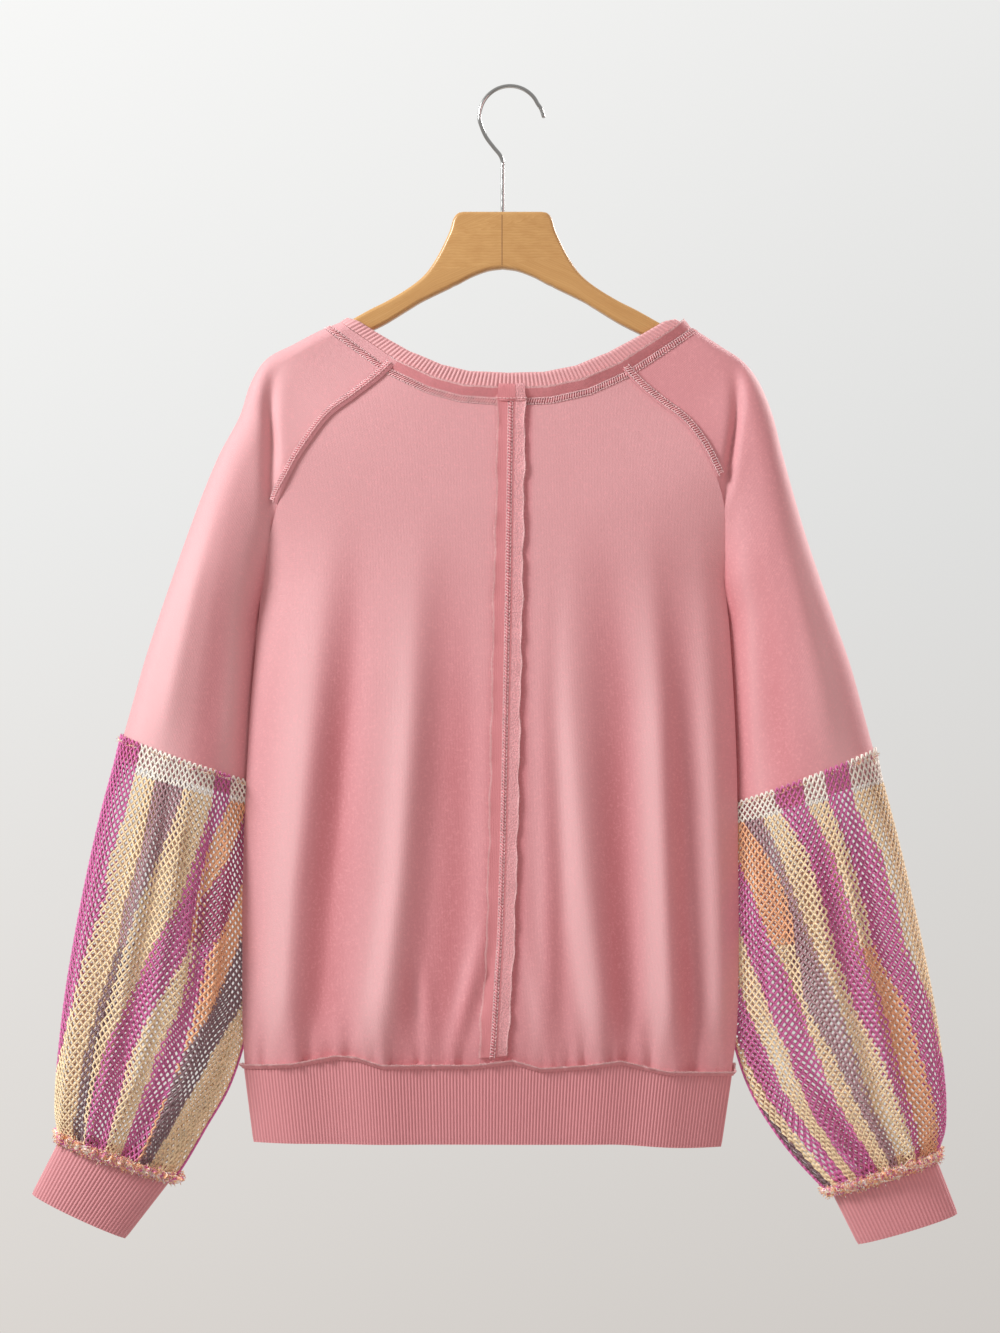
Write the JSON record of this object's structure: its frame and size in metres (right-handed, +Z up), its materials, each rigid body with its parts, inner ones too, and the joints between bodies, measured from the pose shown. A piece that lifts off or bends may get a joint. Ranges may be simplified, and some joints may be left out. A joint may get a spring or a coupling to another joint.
{
  "type": "raglan sweatshirt with net lower sleeves, on a wooden hanger",
  "caption": "Dusty pink raglan sweatshirt with raw seams and balloon lower sleeves of striped net, hanging flat on a wooden hanger.",
  "frame": {"origin": "the inside top of the hanger's hook, where it rests on a rail", "axes": "+Z up, +X to the right of a viewer who looks at the garment's back, +Y from the garment's back to its front"},
  "size_m": [0.7586, 0.0717, 0.9505],
  "materials": {
    "fleece": "matt knitted cotton",
    "rib": "matt ribbed knit",
    "raw_edge": "fuzzy cut edge",
    "net": "soft knitted net",
    "wood": "satin varnish",
    "steel": "bright"
  },
  "bodies": {
    "root": {"back_left": "fleece", "back_right": "fleece", "front": "fleece", "sleeve_left": "fleece", "sleeve_right": "fleece", "net_left": "net", "net_right": "net", "cuff_left": "rib", "cuff_right": "rib", "hem_band": "rib", "neck_band": "rib", "centre_strip": "raw_edge", "raglan_strip_left": "raw_edge", "raglan_strip_right": "raw_edge", "neck_raw_edge": "raw_edge", "hem_raw_edge": "raw_edge", "cuff_frill_left": "raw_edge", "cuff_frill_right": "raw_edge", "hanger_wood": "wood", "hanger_hook": "steel"}
  },
  "joints": []
}
